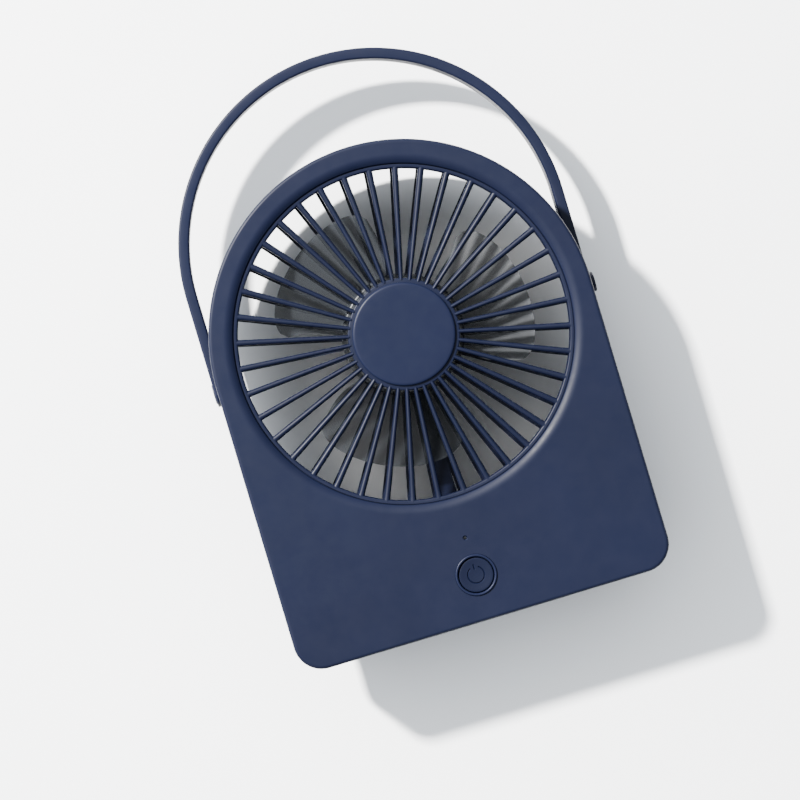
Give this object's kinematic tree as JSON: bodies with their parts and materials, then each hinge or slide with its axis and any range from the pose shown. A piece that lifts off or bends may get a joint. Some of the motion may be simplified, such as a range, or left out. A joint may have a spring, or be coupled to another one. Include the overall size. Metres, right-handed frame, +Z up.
{
  "type": "desk fan",
  "caption": "Rechargeable desk fan with an arch-topped flat case, round radial grilles, a translucent impeller and a swinging bail handle.",
  "frame": {"origin": "centre of the footprint, on the underside of the rubber base pad", "axes": "+Z up, the front grille faces -Y, +X to the right as seen from the front"},
  "size_m": [0.1557, 0.0386, 0.2289],
  "materials": {
    "case_plastic": "fine satin moulded navy plastic",
    "trim_plastic": "satin navy plastic, slightly smoother",
    "grille_plastic": "satin moulded navy plastic",
    "handle_plastic": "satin moulded navy plastic",
    "button_plastic": "satin navy plastic with a fine dish",
    "smoky_plastic": "frosted translucent smoky plastic",
    "clear_plastic": "clear light guide",
    "bright_steel": "turned and plated steel",
    "lamination_steel": "stacked steel laminations",
    "magnet": "sintered magnet",
    "bearing_bronze": "oiled sintered bronze",
    "copper": "enamelled copper wire",
    "circuit_board": "solder mask over glass fibre",
    "chip_black": "moulded chip packages",
    "lead_black": "thin insulated wire",
    "lead_red": "thin insulated wire",
    "pad_rubber": "soft ribbed rubber",
    "cell_wrap": "shrink wrap over the cells",
    "holder_plastic": "moulded tray",
    "nickel": "nickel strip",
    "led_white": "light-emitting diode package"
  },
  "bodies": {
    "case": {"front_shell": "case_plastic", "rear_shell": "case_plastic", "front_grille": "grille_plastic", "grille_cap": "trim_plastic", "rear_grille": "grille_plastic", "motor_base": "bright_steel", "motor_bearings": "bearing_bronze", "stator_core": "lamination_steel", "stator_coils": "copper", "motor_board": "circuit_board", "motor_screws": "bright_steel", "motor_leads": "lead_black", "pivot_pins": "bright_steel", "pivot_washers": "pad_rubber", "button_bezel": "trim_plastic", "tact_switch": "chip_black", "light_pipe": "clear_plastic", "led": "led_white", "control_board": "circuit_board", "board_chips": "chip_black", "board_screws": "bright_steel", "battery_cells": "cell_wrap", "battery_holder": "holder_plastic", "battery_contacts": "nickel", "battery_leads": "lead_red", "usb_port": "bright_steel", "usb_board": "circuit_board", "case_screws": "bright_steel", "screw_plugs": "trim_plastic", "base_pad": "pad_rubber"},
    "handle": {"handle": "handle_plastic", "pivot_caps": "trim_plastic"},
    "impeller": {"impeller": "smoky_plastic", "rotor_cup": "bright_steel", "magnet_ring": "magnet", "motor_shaft": "bright_steel", "shaft_clip": "bright_steel"},
    "button": {"power_button": "button_plastic"},
    "plunger": {"switch_plunger": "chip_black"}
  },
  "joints": [
    {"name": "handle_swing", "type": "hinge", "parent": "case", "child": "handle", "pos_m": [0, 0.00825, 0.1138], "axis": [-1, 0, 0], "range_deg": [0, 150]},
    {"name": "impeller_spin", "type": "hinge", "parent": "case", "child": "impeller", "pos_m": [0, 0, 0.115], "axis": [0, 1, 0], "continuous": true},
    {"name": "button_press", "type": "slide", "parent": "case", "child": "button", "axis": [0, 1, 0], "range_m": [0, 0.0006], "stiffness_N_per_m": 400, "springref_m": -0.0004},
    {"name": "plunger_press", "type": "slide", "parent": "case", "child": "plunger", "axis": [0, 1, 0], "range_m": [0, 0.0006]}
  ],
  "couplings": [
    {"joint": "plunger_press", "follows": "button_press", "ratio": 1}
  ]
}
